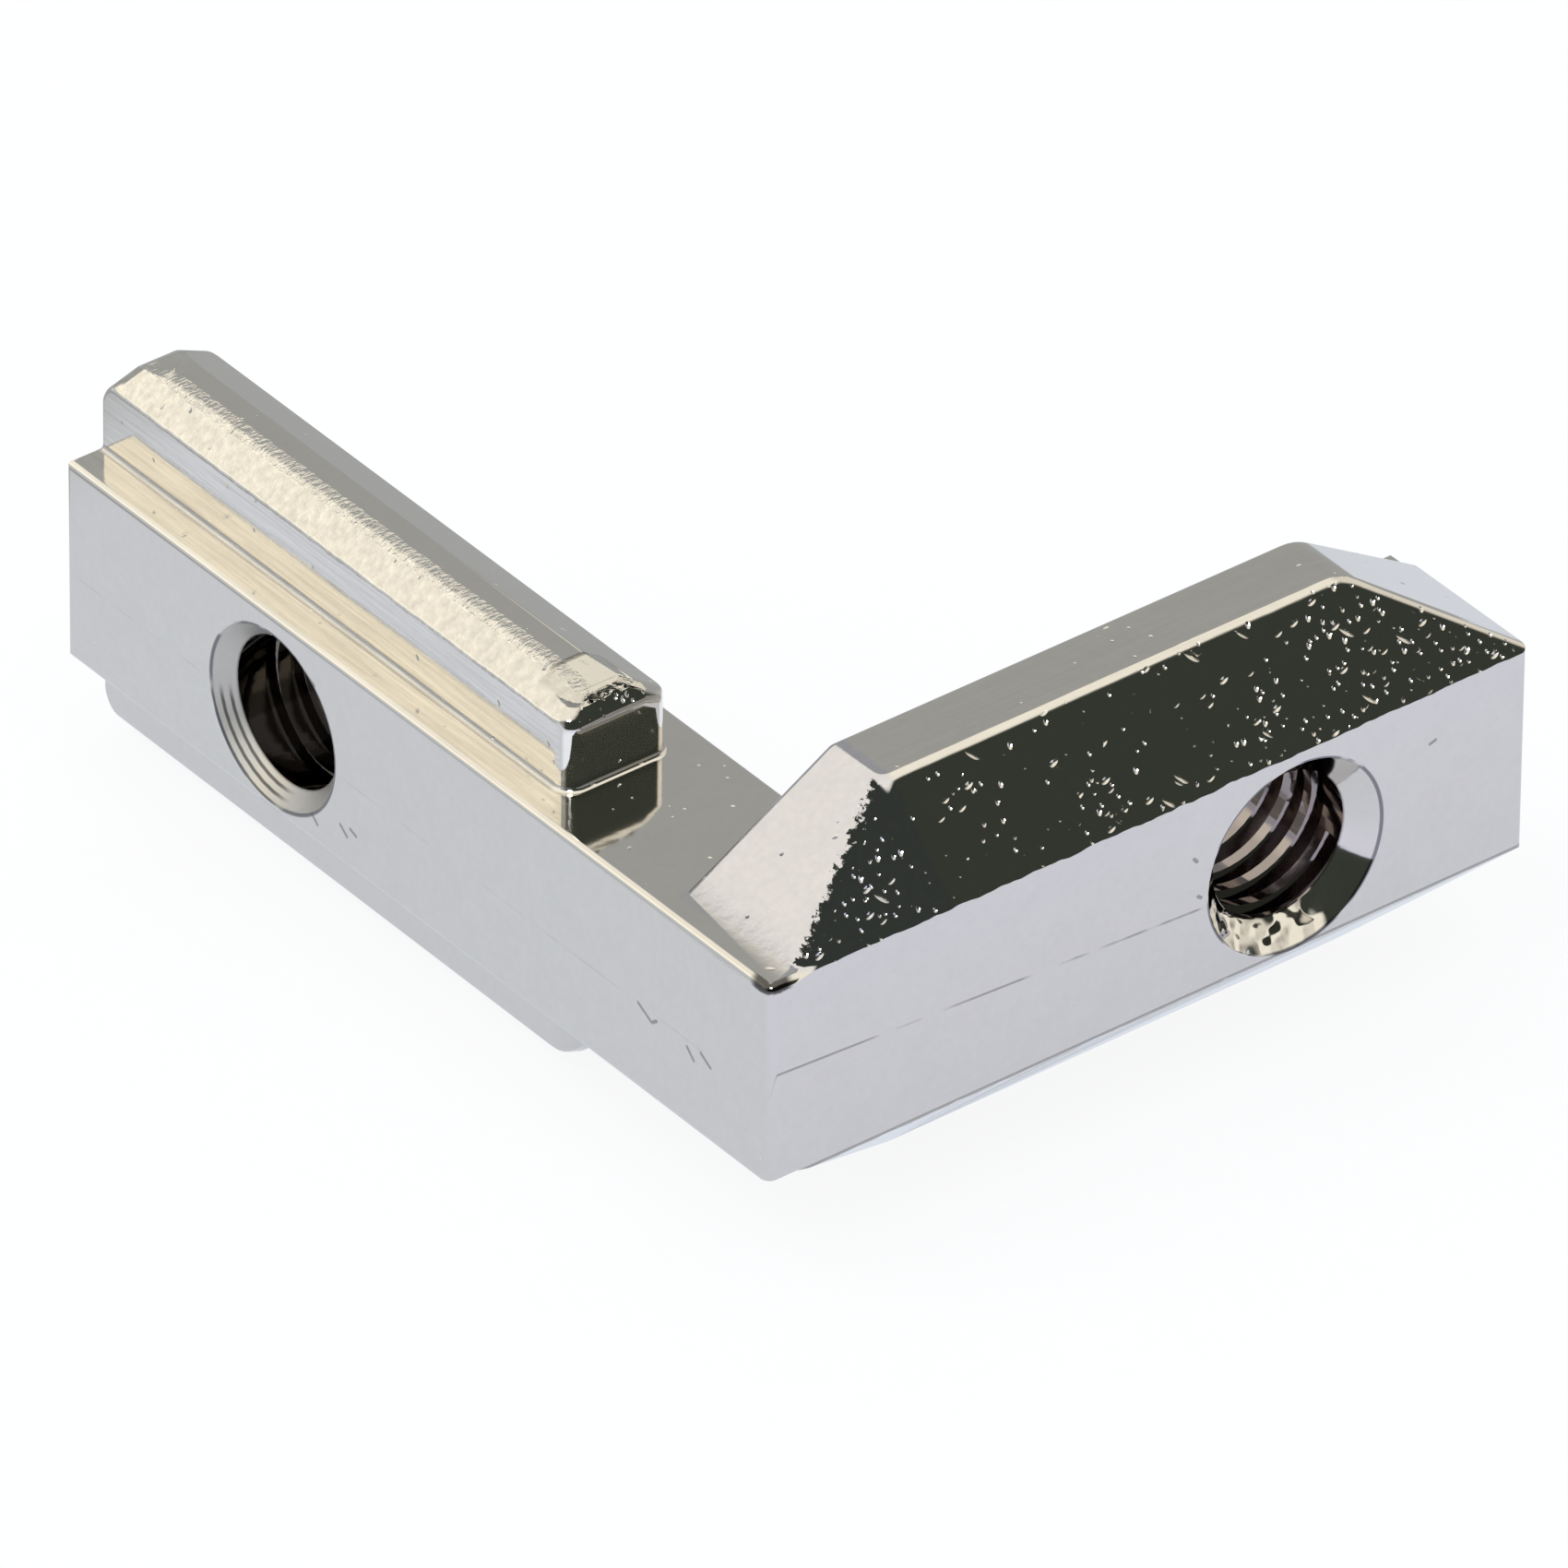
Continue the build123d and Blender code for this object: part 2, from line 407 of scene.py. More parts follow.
# The nickel plating. Places and lengths are in mm, in the frame's axes. A size and a detail make
# a wave from -0.5 to 0.5, and where holds limits as region reads them.
plating = {
    "base": {"colour": (0.66, 0.635, 0.595), "roughness": 0.07},
    # orange peel, stronger on the long flange's front bevel and on the ramp beside the corner
    "peel": {"size": 0.24, "detail": 3.0, "height": 0.0011, "tint": 0.06},
    "bevel": {
        "where": [("x", -11.02, -10.02, 0.04), ("z", 10.52, 10.56)],
        "morePeel": 8.0,
    },
    "ramp": {
        "where": [("x", -11.3, -6.4, 0.2), ("z", 8.56, 8.64), ("y", -9.8, -10.0)],
        # its colour is darker and bluer than the rest: a painted reflection tint
        "morePeel": 2.0, "colour": (0.60, 0.588, 0.625),
    },
    # broad unevenness, and cloudy patches
    "swell": {"size": 3.5, "detail": 1.0, "height": 0.006},
    "cloud": {"size": 1.1, "detail": 3.0, "tint": 0.05},
    # streaks on the ledge in front of the long flange; its tint paints the whole ledge lighter, painted
    # light
    "ledge": {
        "where": [("x", -10.95, -10.98), ("z", 8.55, 8.58), ("y", -5.2, -4.9)],
        "size": (0.09, 2.6, 0.09), "detail": 3.0, "gain": 0.6,
        "height": 0.0022, "streakTint": 0.55, "tint": 0.05,
    },
    # torn metal along the upper edge of the long flange's front bevel
    "torn": {
        "where": [("x", -10.2, -9.75, 0.05), ("z", 10.9, 11.0), ("y", -4.6, -4.2)],
        "size": (0.30, 0.13, 0.2), "detail": 2.0, "gain": 0.6, "height": 0.05,
    },
    # streaks along the short flange's top
    "drawn": {
        "where": [("z", 11.0, 11.1), ("x", -8.0, -7.5)],
        "size": (3.0, 0.14, 3.0), "detail": 4.0, "gain": 0.7, "tint": 0.16,
    },
    # where the long flange's top tilts towards its near end, from the line on. Its tint paints it darker
    # there, painted shade
    "tilt": {
        "where": [("y", -4.7, -3.15, 0.05), ("z", 10.85, 10.95)],
        "size": 0.22, "detail": 3.0, "line": -3.15, "slope": 0.10, "height": 0.014, "tint": -0.12,
    },
    # a dark line painted along the start of the tilt: painted shade
    "tiltLineShade": {
        "where": [("y", -3.19, -3.11, 0.06), ("z", 11.1, 11.15), ("x", -10.3, -10.0)],
        "tint": -0.5,
    },
    # the long flange's near end face, painted lighter: painted light
    "endFaceLight": {
        "where": [("y", -5.1, -4.7, 0.1), ("z", 8.7, 9.0), ("z", 10.5, 10.3)],
        "tint": 0.42,
    },
    # where the long flange meets its ledge, painted darker as painted shade in that crease, and rougher
    "foot": {
        "where": [("z", 8.76, 8.73), ("x", -11.15, -10.95, 0.01), ("z", 8.5, 8.6), ("y", -4.6, -4.3)],
        "tint": -0.2, "roughness": 0.25,
    },
    # the line round both outer faces, at the foot of the lower flange's bevel: a dark line of painted shade
    # in that crease
    "lowerCreaseShade": {
        "where": [("z", 2.635, 2.685, 0.03)],
        "outside": [("x", -11.95, -12.0), ("y", -14.35, -14.4)],
        "tint": -0.4,
    },
    # the dark spot on the rounded rim at the outer corner: a painted dark reflection
    "corner": {
        "place": (-11.95, -14.4, 8.6), "wander": 0.5, "rimWander": 0.15,
        "where": [("away", 0.75, 0.45), ("rimHeight", 8.34, 8.42)],
        "inside": [("x", -11.92, -11.84), ("y", -14.32, -14.24)],
        "tint": -0.85,
    },
    # the mottled blend of the ramp beside the corner into the long bevel, along a line in plan
    "hip": {
        "size": 0.22, "detail": 4.0, "gain": 0.7,
        "bevelNormal": (0, -0.721, 0.693),
        "line": [("x", -11.15, 0.578), ("y", -14.5, -1.04)],
        "fade": (-0.80, 0.08), "mottle": 2.2,
        "where": [
            ("share", 0.22, 0.88), ("z", 8.64, 8.70), ("x", -6.5, -6.8), ("fromLine", -1.05, -0.80),
        ],
    },
    # the long bevel itself, told by its slope
    "longBevel": {"where": [("facing", 0.93, 0.98), ("z", 8.5, 8.6)]},
    # broken seam near mid height, where the die parts. It falls along the short leg, and is
    # faint on the long leg's outer face.
    "seam": {
        "size": 1.3, "detail": 2.0, "z": 5.25, "fall": 0.055,
        "offLongLeg": (-12.0, -11.8), "onLongLeg": 0.12,
        "where": [
            ("breaks", -0.10, 0.10), ("off", -0.018, 0.018, 0.035), ("x", 3.2, 1.6),
            ("fromFirst", 2.9, 3.2), ("fromSecond", 2.9, 3.2),
        ],
        "height": 0.004, "tint": -0.45,
    },
    # the short leg's countersink is chattered low down, and the long leg's has rings
    "chatter": {
        "size": 0.8, "detail": 1.0, "height": 0.16, "normal": (0, -0.45, 0.89), "share": 0.85,
        "where": [("aside", 1.3, 0.8), ("above", -0.3, -0.8)],
        "facets": (-0.10, 0.0),
    },
    "rings": {
        "spacing": 0.17,
        "where": [
            ("wave", 0.0, 0.8), ("above", -0.2, -0.8), ("radius", 2.75, 2.6),
            ("aside", -0.6, 0.2), ("x", -11.4, -11.6),
        ],
        "tint": -0.6,
    },
}
# The wall of each hole, the fine broken line round its countersink, and the countersink
holeSurfaces = {
    "wall": {"radius": (2.62, 2.58), "softness": 0.05},
    "rim": {"halfWidth": 0.03, "colour": (0.12, 0.12, 0.14), "share": 0.8, "breaks": (-0.12, -0.02)},
    "sink": {"depth": 0.03, "edge": 0.02},
}
marks = {
    # short dark strokes on the long leg's outer face, from one (y, z) to another
    "longLeg": {
        "flatten": (0, 1, 1),
        "where": [("x", -12.05, -12.08)],
        "lines": [
            ((6.13, 3.24), (5.90, 3.08)), ((6.29, 2.69), (5.32, 2.67)),
            ((5.36, 3.21), (5.17, 3.04)), ((4.16, 3.46), (3.93, 3.25)),
            ((2.97, 3.79), (2.70, 3.57)), ((2.55, 3.88), (2.32, 3.79)),
            ((-9.27, 5.26), (-9.80, 4.97)), ((-9.85, 4.98), (-10.02, 5.12)),
            ((-11.25, 5.04), (-11.52, 4.77)), ((-11.81, 5.16), (-12.19, 4.93)),
            ((4.85, 7.88), (4.05, 7.46)),
        ],
    },
    # and on the short leg's outer face, as (x, z)
    "shortLeg": {
        "flatten": (1, 0, 1),
        "where": [("y", -14.45, -14.48)],
        "lines": [
            ((1.37, 6.78), (1.47, 6.66)), ((1.52, 5.58), (1.62, 5.50)),
            ((8.95, 7.07), (9.12, 7.12)),
        ],
    },
    "side": (0.072, 0.027),  # clear this far from a stroke's middle, and dark within that
    "height": -0.01,
    "tint": -0.5,
}
# Pits in the long bevel, which crowd at both ends of the short flange
pits = {
    "faceTilt": 46.0,   # degrees, turns the bevel flat, so that the pits lie along it
    "layers": [
        {"turn": 20.0, "cell": 0.36, "long": 2.0},
        {"turn": 74.0, "cell": 0.30, "long": 1.6},
        {"turn": 128.0, "cell": 0.42, "long": 2.6},
        {"turn": 100.0, "cell": 0.22, "long": 1.4},
    ],
    "radius": 0.22,     # share of a cell
    "depth": 0.036,
    "roughness": 0.22,
    "few": 0.97,        # a cell's own number has to pass this, between the crowded places
    "many": 0.10,
    "crowds": {"size": 2.2, "detail": 2.0, "strength": 1.6, "base": 0.23},
    "ends": [[("x", 1.0, 8.0)], [("x", -9.8, -8.4, 1.2)]],
    "endStrength": 0.5,
    "where": [("z", 8.5, 8.75)],
}


def wave(tree, place, look):
    size = look["size"]
    cell = size if isinstance(size, tuple) else (size,) * 3
    return ripple(tree, placed(tree, place, cell), look["detail"], look.get("gain", 0.5))


def pitMask(tree, place, crowding):
    flat = placed(tree, place, turn=(pits["faceTilt"], 0, 0))
    limit = tree.nodes.new("ShaderNodeMapRange")
    limit.inputs["To Min"].default_value = pits["few"]
    limit.inputs["To Max"].default_value = pits["many"]
    tree.links.new(crowding, limit.inputs["Value"])
    layers = []
    for layer in pits["layers"]:
        size = (layer["cell"] * layer["long"], layer["cell"], layer["cell"])
        cells = tree.nodes.new("ShaderNodeTexVoronoi")
        cells.inputs["Scale"].default_value = 1.0
        tree.links.new(placed(tree, flat, size, (0, 0, layer["turn"])), cells.inputs["Vector"])
        own = splitPlace(tree, cells.outputs["Color"])[0]
        chosen = mathNode(tree, "GREATER_THAN", own, limit.outputs["Result"])
        # a cone, so that its whole side mirrors something bright
        spot = mathNode(
            tree, "MULTIPLY_ADD", cells.outputs["Distance"], -1 / pits["radius"], 1.0, clamp=True,
        )
        layers.append(mathNode(tree, "MULTIPLY", chosen, spot))
    return total(tree, "MAXIMUM", layers)


def pitted(tree, place, parts, onLongBevel):
    crowds = pits["crowds"]
    crowd = mathNode(tree, "MULTIPLY_ADD", wave(tree, place, crowds), crowds["strength"], crowds["base"])
    ends = total(tree, "MAXIMUM", [region(tree, parts, end) for end in pits["ends"]])
    crowd = mathNode(tree, "MULTIPLY_ADD", ends, pits["endStrength"], crowd, clamp=True)
    pit = pitMask(tree, place, mathNode(tree, "MULTIPLY", crowd, onLongBevel))
    return mathNode(tree, "MULTIPLY", pit, region(tree, parts, pits["where"]))


def holeMasks(tree, parts, hole):
    # places counted from the hole's axis, and where its wall, countersink and fine line are
    mount = mounts[hole["mount"]]
    along, across = ("x", "y") if mount["axis"][0] else ("y", "x")
    middle = {name: value / mm for name, value in zip("xyz", mount["pos_m"])}
    aside = mathNode(tree, "SUBTRACT", parts[across], middle[across])
    above = mathNode(tree, "SUBTRACT", parts["z"], middle["z"])
    square = mathNode(tree, "MULTIPLY", above, above)
    radius = mathNode(tree, "SQRT", mathNode(tree, "MULTIPLY_ADD", aside, aside, square))
    here = {"along": parts[along], "aside": aside, "above": above, "radius": radius}
    halfWall = mount["dims"]["length_mm"] / 2
    start, end = middle[along] - halfWall, middle[along] + halfWall
    sinkRadius = hole["sink"] / 2
    wall, rim, sink = (holeSurfaces[name] for name in ("wall", "rim", "sink"))
    masks = {
        "wall": [("along", start, end, wall["softness"]), ("radius", *wall["radius"])],
        "rim": [
            ("radius", sinkRadius - rim["halfWidth"], sinkRadius + rim["halfWidth"], rim["halfWidth"]),
        ],
        "sink": [
            ("along", start + sink["depth"], start - sink["depth"]),
            ("radius", sinkRadius + sink["edge"], sinkRadius - sink["edge"]),
        ],
    }
    here.update({name: region(tree, here, limits) for name, limits in masks.items()})
    return here


def strokeMask(tree, place, parts, face):
    # 1 on the face's lines, and soft at their sides
    flatten = Vector(face["flatten"])
    flat = vectorNode(tree, "MULTIPLY", place, flatten)
    distances = []
    for ends in face["lines"]:
        start, end = (Vector((across, across, up)) * flatten for across, up in ends)
        run = end - start
        fromStart = vectorNode(tree, "SUBTRACT", flat, start)
        share = vectorNode(tree, "DOT_PRODUCT", fromStart, run / run.length_squared)
        share = mathNode(tree, "MINIMUM", mathNode(tree, "MAXIMUM", share, 0.0), 1.0)
        along = vectorNode(tree, "SCALE", run, share)
        distances.append(vectorNode(tree, "DISTANCE", fromStart, along))
    nearest = total(tree, "MINIMUM", distances)
    return product(tree, softStep(tree, nearest, *marks["side"]), region(tree, parts, face["where"]))


def hipMask(tree, parts, hipWave):
    hip = plating["hip"]
    fromLine = weightedSum(tree, 0.0, [
        (mathNode(tree, "SUBTRACT", parts[what], start), slope) for what, start, slope in hip["line"]
    ])
    share = softStep(tree, fromLine, *hip["fade"])
    share = mathNode(tree, "MULTIPLY_ADD", hipWave, hip["mottle"], share)
    return region(tree, {**parts, "fromLine": fromLine, "share": share}, hip["where"])


# where the painted dark reflection on the outer corner's rim lies
def cornerDarkReflectionMask(tree, place, parts, waves):
    corner = plating["corner"]
    away = vectorNode(tree, "DISTANCE", place, corner["place"])
    here = {
        "away": mathNode(tree, "MULTIPLY_ADD", waves["chatter"], corner["wander"], away),
        "rimHeight": mathNode(tree, "MULTIPLY_ADD", waves["hip"], corner["rimWander"], parts["z"]),
    }
    outside = mathNode(tree, "SUBTRACT", 1.0, region(tree, parts, corner["inside"]))
    return product(tree, region(tree, here, corner["where"]), outside)


def seamMask(tree, parts, breaks, inHoles):
    seam = plating["seam"]
    offLongLeg = softStep(tree, parts["x"], *seam["offLongLeg"])
    fall = product(tree, offLongLeg, parts["x"], seam["fall"])
    here = {
        **parts,
        "breaks": breaks,
        "off": mathNode(tree, "ADD", mathNode(tree, "SUBTRACT", parts["z"], seam["z"]), fall),
        "fromFirst": inHoles[0]["radius"],
        "fromSecond": inHoles[1]["radius"],
    }
    strength = mathNode(tree, "MULTIPLY_ADD", offLongLeg, 1 - seam["onLongLeg"], seam["onLongLeg"])
    return product(tree, region(tree, here, seam["where"]), strength)


def platingMasks(tree, place, parts, waves, inHoles):
    # where each of the plating's looks is
    plain = (
        "bevel", "ramp", "ledge", "torn", "drawn", "tilt", "tiltLineShade", "endFaceLight", "foot",
        "lowerCreaseShade",
    )
    at = {name: region(tree, parts, plating[name]["where"]) for name in plain}
    outside = [softStep(tree, parts[what], *limits) for what, *limits in plating["lowerCreaseShade"]["outside"]]
    at["lowerCreaseShade"] = product(tree, at["lowerCreaseShade"], total(tree, "MAXIMUM", outside))
    at["hip"] = hipMask(tree, parts, waves["hip"])
    at["corner"] = cornerDarkReflectionMask(tree, place, parts, waves)
    at["seam"] = seamMask(tree, parts, waves["seam"], inHoles)
    first, second = inHoles
    at["chatter"] = product(tree, second["sink"], region(tree, second, plating["chatter"]["where"]))
    rings = plating["rings"]
    turns = mathNode(tree, "MULTIPLY", first["radius"], 2 * pi / rings["spacing"])
    here = {**parts, **first, "wave": mathNode(tree, "SINE", turns)}
    at["rings"] = region(tree, here, rings["where"])
    strokes = [strokeMask(tree, place, parts, marks[leg]) for leg in ("longLeg", "shortLeg")]
    at["strokes"] = total(tree, "ADD", strokes)
    return at


def nickelPlate():
    material = bpy.data.materials.new("nickelPlate")
    material.use_nodes = True
    tree = material.node_tree
    shader = tree.nodes["Principled BSDF"]
    shader.inputs["Metallic"].default_value = 1.0
    texture = tree.nodes.new("ShaderNodeTexCoord")
    place = placed(tree, texture.outputs["Object"], (mm, mm, mm))
    parts = dict(zip("xyz", splitPlace(tree, place)))
    waves = {name: wave(tree, place, look) for name, look in plating.items() if "size" in look}
    inHoles = [holeMasks(tree, parts, hole) for hole in holes]
    at = platingMasks(tree, place, parts, waves, inHoles)

    # the hip and the chatter turn the surface, and the pits keep to the long bevel
    normal = tree.nodes.new("ShaderNodeNewGeometry").outputs["Normal"]
    bevelNormal = plating["hip"]["bevelNormal"]
    facing = vectorNode(tree, "DOT_PRODUCT", normal, bevelNormal)
    onLongBevel = region(tree, {**parts, "facing": facing}, plating["longBevel"]["where"])
    at["pits"] = pitted(tree, place, parts, onLongBevel)
    chatter = plating["chatter"]
    facets = softStep(tree, waves["chatter"], *chatter["facets"])
    normal = mixVector(tree, at["hip"], normal, bevelNormal)
    normal = mixVector(
        tree, product(tree, facets, at["chatter"], chatter["share"]), normal, chatter["normal"],
    )

    peelShare = weightedSum(tree, 1.0, [(at[name], plating[name]["morePeel"]) for name in ("bevel", "ramp")])
    peel = product(tree, waves["peel"], peelShare)
    streaks = product(tree, waves["ledge"], at["ledge"])
    tilt = plating["tilt"]
    fall = mathNode(tree, "SUBTRACT", parts["y"], tilt["line"])
    fall = mathNode(tree, "MINIMUM", mathNode(tree, "MULTIPLY", fall, tilt["slope"]), 0.0)
    tilted = mathNode(tree, "MULTIPLY_ADD", waves["tilt"], tilt["height"], fall)
    heights = [
        (peel, plating["peel"]["height"]),
        (waves["swell"], plating["swell"]["height"]),
        (streaks, plating["ledge"]["height"]),
        (product(tree, waves["torn"], at["torn"]), plating["torn"]["height"]),
        (at["seam"], plating["seam"]["height"]),
        (at["strokes"], marks["height"]),
        (at["pits"], -pits["depth"]),
        (product(tree, waves["chatter"], at["chatter"]), chatter["height"]),
        (tilted, at["tilt"]),
    ]
    bump = tree.nodes.new("ShaderNodeBump")
    bump.inputs["Distance"].default_value = mm
    tree.links.new(weightedSum(tree, 0.0, heights), bump.inputs["Height"])
    tree.links.new(normal, bump.inputs["Normal"])
    tree.links.new(bump.outputs[0], shader.inputs["Normal"])

    # what is lighter or darker than the rest: tone and marks, and painted light and shade
    tints = [
        (peel, plating["peel"]["tint"]),
        (streaks, plating["ledge"]["streakTint"]),
        (product(tree, waves["drawn"], at["drawn"]), plating["drawn"]["tint"]),
        (waves["cloud"], plating["cloud"]["tint"]),
        (at["strokes"], marks["tint"]),
    ]
    # the seam and the rings are marks; the others here are painted shade, and painted light on the ledge and
    # the end face
    tinted = ("seam", "foot", "lowerCreaseShade", "corner", "rings", "tiltLineShade", "tilt", "ledge", "endFaceLight")
    tints += [(at[name], plating[name]["tint"]) for name in tinted]
    # the countersink's tint is painted shade
    tints += [(here["sink"], hole["sinkShade"]) for hole, here in zip(holes, inHoles) if hole["sinkShade"]]
    base = plating["base"]
    colour = vectorNode(tree, "SCALE", base["colour"], weightedSum(tree, 1.0, tints))
    # the ramp's darker, bluer colour: a painted reflection tint
    rampReflectionTint = tuple(b / a for a, b in zip(base["colour"], plating["ramp"]["colour"]))
    colour = mixColour(tree, at["ramp"], colour, rampReflectionTint, "MULTIPLY")
    rim = holeSurfaces["rim"]
    breaks = softStep(tree, waves["seam"], *rim["breaks"])
    for hole, here in zip(holes, inHoles):
        colour = mixColour(tree, product(tree, here["rim"], breaks, rim["share"]), colour, rim["colour"])
        # each bore's wall takes its hole's colour: painted shade inside the hole
        colour = mixColour(tree, here["wall"], colour, hole["colour"])
    tree.links.new(colour, shader.inputs["Base Color"])

    rough = [(at["pits"], pits["roughness"]), (at["foot"], plating["foot"]["roughness"])]
    rough += [(here["sink"], hole["sinkRoughness"]) for hole, here in zip(holes, inHoles)
              if hole["sinkRoughness"]]
    tree.links.new(weightedSum(tree, base["roughness"], rough), shader.inputs["Roughness"])
    return material


# The room that the plating mirrors, as a dome: only reflections see it. Heights are shares of
# the dome's radius, and azimuths are in degrees round from the short leg.
room = {
    "radius": 0.6,  # m
    "segments": (64, 32),
    "cutTolerance": 1e-6,
    "wall": (0.465, 0.475, 0.47),
    "cream": {"colour": (1.57, 1.50, 1.28), "azimuth": (92, 108)},
    "skirt": {"colour": (0.75, 0.79, 0.85), "height": (0.50, 0.42), "azimuth": (92, 108)},
    "ceiling": {"colour": (1.25, 1.20, 1.06), "height": (0.61, 0.72)},
    "side": {"colour": (1.0, 0.95, 0.84), "azimuth": (-30, 25, 6), "height": (0.34, 0.77, 0.05)},
    "dark": {"colour": (0.050, 0.058, 0.047), "front": (-0.16, -0.50), "top": (0.90, 0.74)},
    "lamp": {
        "azimuth": -130, "elevation": 50, "halfAngle": 9.0, "strength": 40.0,
        "softness": 0.0005,  # of the cosine, at its rim
    },
}


def roomDome():
    bm = bmesh.new()
    around, upwards = room["segments"]
    bmesh.ops.create_uvsphere(bm, u_segments=around, v_segments=upwards, radius=room["radius"])
    bmesh.ops.bisect_plane(
        bm, geom=list(bm.verts) + list(bm.edges) + list(bm.faces), dist=room["cutTolerance"],
        plane_co=(0, 0, 0), plane_no=(0, 0, 1), clear_inner=True,
    )
    dome = newObject("mirroredRoom", bm)
    material = bpy.data.materials.new("mirroredRoom")
    material.use_nodes = True
    material.cycles.emission_sampling = "NONE"
    tree = material.node_tree
    tree.nodes.remove(tree.nodes["Principled BSDF"])
    glow = tree.nodes.new("ShaderNodeEmission")
    tree.links.new(glow.outputs[0], tree.nodes["Material Output"].inputs["Surface"])
    texture = tree.nodes.new("ShaderNodeTexCoord")
    unit = vectorNode(tree, "NORMALIZE", texture.outputs["Object"])
    x, y, z = splitPlace(tree, unit)
    azimuth = mathNode(tree, "ARCTAN2", y, x)
    # behind on the right a grey wall, behind on the left a warm soft box
    cream, skirt, ceiling, side, dark, lamp = (
        room[name] for name in ("cream", "skirt", "ceiling", "side", "dark", "lamp")
    )
    share = softStep(tree, azimuth, *[radians(a) for a in cream["azimuth"]])
    colour = mixColour(tree, share, room["wall"], cream["colour"])
    # pale below that soft box, and bright overhead
    share = mathNode(
        tree, "MULTIPLY", softStep(tree, z, *skirt["height"]),
        softStep(tree, azimuth, *[radians(a) for a in skirt["azimuth"]]),
    )
    colour = mixColour(tree, share, colour, skirt["colour"])
    share = softStep(tree, z, *ceiling["height"])
    colour = mixColour(tree, share, colour, ceiling["colour"])
    # a smaller soft box on the right
    share = mathNode(
        tree, "MULTIPLY", between(tree, z, *side["height"]),
        between(tree, azimuth, *[radians(a) for a in side["azimuth"]]),
    )
    colour = mixColour(tree, share, colour, side["colour"])
    # dark in front, where the camera stands, with one small lamp
    share = mathNode(tree, "MULTIPLY", softStep(tree, y, *dark["front"]), softStep(tree, z, *dark["top"]))
    colour = mixColour(tree, share, colour, dark["colour"])
    facing = vectorNode(tree, "DOT_PRODUCT", unit, unitVector(lamp["azimuth"], lamp["elevation"]))
    rim = cos(radians(lamp["halfAngle"]))
    share = softStep(tree, facing, rim - lamp["softness"], rim + lamp["softness"])
    colour = mixColour(tree, share, colour, (lamp["strength"],) * 3)
    tree.links.new(colour, glow.inputs["Color"])
    dome.data.materials.append(material)
    dome.visible_camera = False
    dome.visible_diffuse = False
    dome.visible_shadow = False
    dome.visible_transmission = False


# The pale table. What the plating mirrors of it turns bluer in front and grey behind.
table = {
    "halfSize": 3.0,  # m
    "colour": (0.84, 0.89, 0.97),
    "roughness": 0.9,
    "mirrored": (0.805, 0.855, 0.945),
    "bluer": {"colour": (0.893, 0.913, 1.09), "y": (-0.010, -0.030)},
    "grey": {"colour": (0.41, 0.42, 0.415), "y": (0.022, 0.030)},
    "whiteShare": 0.88,  # of plain white in what the camera and the plating see of it
}


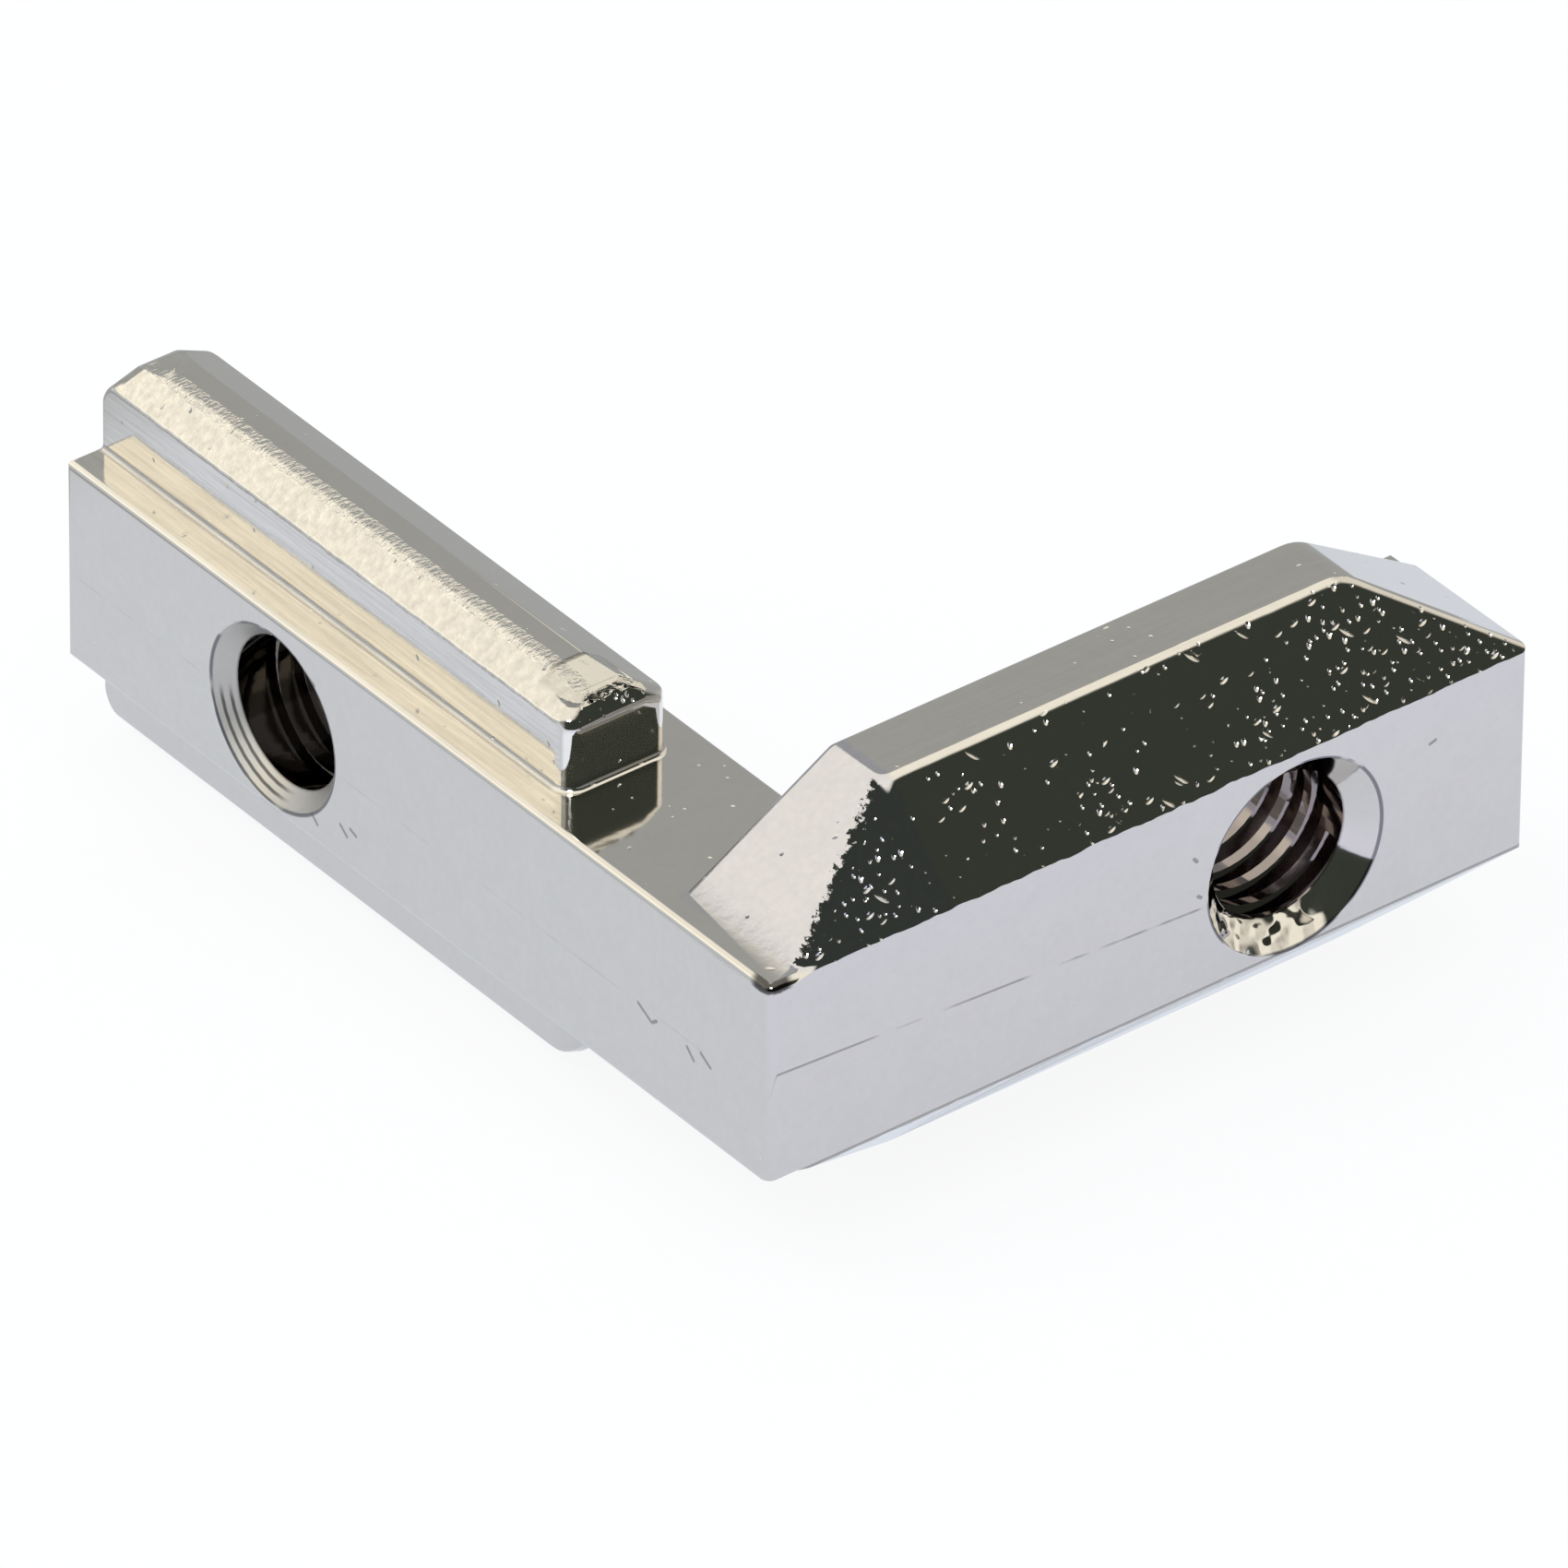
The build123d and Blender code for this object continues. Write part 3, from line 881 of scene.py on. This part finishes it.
def paleTable():
    bm = bmesh.new()
    bmesh.ops.create_grid(bm, x_segments=1, y_segments=1, size=table["halfSize"])
    floor = newObject("paleTable", bm)
    material = bpy.data.materials.new("paleTable")
    material.use_nodes = True
    tree = material.node_tree
    shader = tree.nodes["Principled BSDF"]
    shader.inputs["Base Color"].default_value = (*table["colour"], 1)
    shader.inputs["Roughness"].default_value = table["roughness"]
    shader.inputs["Specular IOR Level"].default_value = 0.0
    path = tree.nodes.new("ShaderNodeLightPath")
    white = tree.nodes.new("ShaderNodeEmission")
    white.inputs["Color"].default_value = (1, 1, 1, 1)
    texture = tree.nodes.new("ShaderNodeTexCoord")
    y = splitPlace(tree, texture.outputs["Object"])[1]
    colour = table["mirrored"]
    for patch in (table["bluer"], table["grey"]):
        colour = mixColour(tree, softStep(tree, y, *patch["y"]), colour, patch["colour"])
    pale = tree.nodes.new("ShaderNodeEmission")
    tree.links.new(colour, pale.inputs["Color"])
    seen = tree.nodes.new("ShaderNodeMixShader")
    tree.links.new(path.outputs["Is Glossy Ray"], seen.inputs[0])
    tree.links.new(white.outputs[0], seen.inputs[1])
    tree.links.new(pale.outputs[0], seen.inputs[2])
    looking = mathNode(tree, "ADD", path.outputs["Is Camera Ray"], path.outputs["Is Glossy Ray"])
    looking = mathNode(tree, "ADD", looking, path.outputs["Is Transmission Ray"], clamp=True)
    share = mathNode(tree, "MULTIPLY", looking, table["whiteShare"])
    mix = tree.nodes.new("ShaderNodeMixShader")
    tree.links.new(share, mix.inputs[0])
    tree.links.new(shader.outputs[0], mix.inputs[1])
    tree.links.new(seen.outputs[0], mix.inputs[2])
    tree.links.new(mix.outputs[0], tree.nodes["Material Output"].inputs["Surface"])
    material.cycles.emission_sampling = "NONE"
    floor.data.materials.append(material)


# The white studio light from all round, and a soft lamp behind the bracket
studio = {"colour": (1, 1, 1), "strength": 0.95}
softLight = {
    "azimuth": 140, "elevation": 55, "distance": 0.55,  # m
    "size": 0.35, "energy": 0.8, "colour": (1.0, 0.96, 0.88),
}


def whiteWorld():
    world = bpy.data.worlds.new("whiteStudio")
    world.use_nodes = True
    background = world.node_tree.nodes["Background"]
    background.inputs["Color"].default_value = (*studio["colour"], 1)
    background.inputs["Strength"].default_value = studio["strength"]
    bpy.context.scene.world = world


def softLamp():
    lamp = bpy.data.lights.new("softLamp", "AREA")
    lamp.shape = "DISK"
    lamp.size = softLight["size"]
    lamp.energy = softLight["energy"]
    lamp.color = softLight["colour"]
    holder = bpy.data.objects.new("softLamp", lamp)
    holder.location = unitVector(softLight["azimuth"], softLight["elevation"]) * softLight["distance"]
    holder.rotation_euler = holder.location.to_track_quat("Z", "Y").to_euler()
    holder.visible_glossy = False
    bpy.context.scene.collection.objects.link(holder)


def photoCamera():
    camera = bpy.data.cameras.new("photoCamera")
    camera.lens = view["lens"]
    camera.sensor_width = view["sensor"]
    camera.clip_start, camera.clip_end = view["clip"]
    holder = bpy.data.objects.new("photoCamera", camera)
    back = unitVector(view["azimuth"], view["elevation"])
    turn = back.to_track_quat("Z", "Y").to_matrix() @ Matrix.Rotation(radians(view["roll"]), 3, "Z")
    place = turn.to_4x4()
    place.translation = (Vector(view["aim"]) + back * view["distance"]) * mm
    holder.matrix_world = place
    bpy.context.scene.collection.objects.link(holder)
    bpy.context.scene.camera = holder


photoCamera()
print("camera in place")
platedShell(nickelPlate())
print("bracket threaded and plated")
roomDome()
paleTable()
whiteWorld()
softLamp()
print("room, table and lights in place")
bpy.context.scene.view_settings.view_transform = "Standard"
